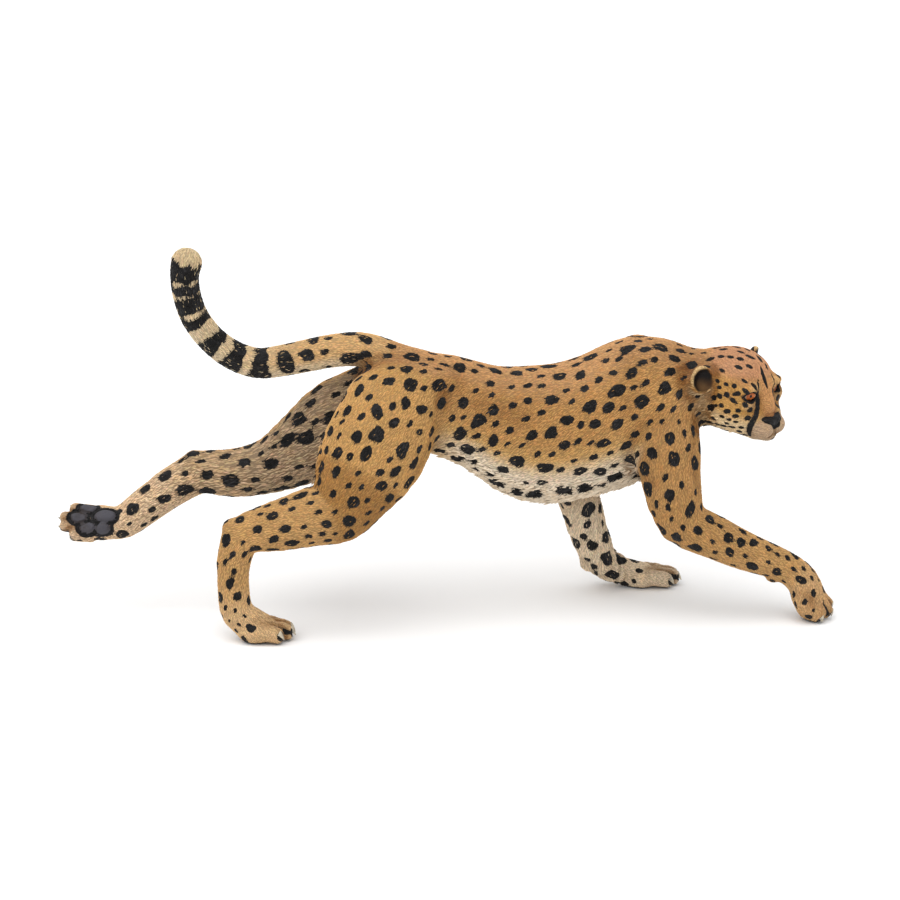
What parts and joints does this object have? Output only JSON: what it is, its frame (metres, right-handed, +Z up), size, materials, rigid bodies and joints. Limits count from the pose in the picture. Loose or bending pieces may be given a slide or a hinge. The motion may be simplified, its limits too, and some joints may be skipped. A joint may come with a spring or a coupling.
{
  "type": "running cheetah figurine",
  "caption": "Moulded plastic figurine of a spotted cheetah in mid run, standing on three paws with one hind leg thrown back, tail raised and head turned to its right.",
  "frame": {"origin": "on the floor under the middle of the figurine's box", "axes": "+X forward along the back, +Y to the animal's left, +Z up"},
  "size_m": [0.1718, 0.0412, 0.0841],
  "materials": {
    "coat": "satin paint, tan with black spots, paler below",
    "nose": "satin black paint",
    "eye": "gloss paint, amber with a black rim"
  },
  "bodies": {
    "root": {"head": "coat", "neck": "coat", "nose": "nose", "ear_left": "coat", "ear_right": "coat", "eye_left": "eye", "eye_right": "eye", "trunk": "coat", "tail_root": "coat", "tail_middle": "coat", "tail_tip": "coat", "fore_right_upper_arm": "coat", "fore_right_forearm": "coat", "fore_right_paw": "coat", "fore_left_upper_arm": "coat", "fore_left_forearm": "coat", "fore_left_paw": "coat", "hind_right_thigh": "coat", "hind_right_shank": "coat", "hind_right_hock": "coat", "hind_right_paw": "coat", "hind_left_thigh": "coat", "hind_left_shank": "coat", "hind_left_hock": "coat", "hind_left_paw": "coat"}
  },
  "joints": []
}
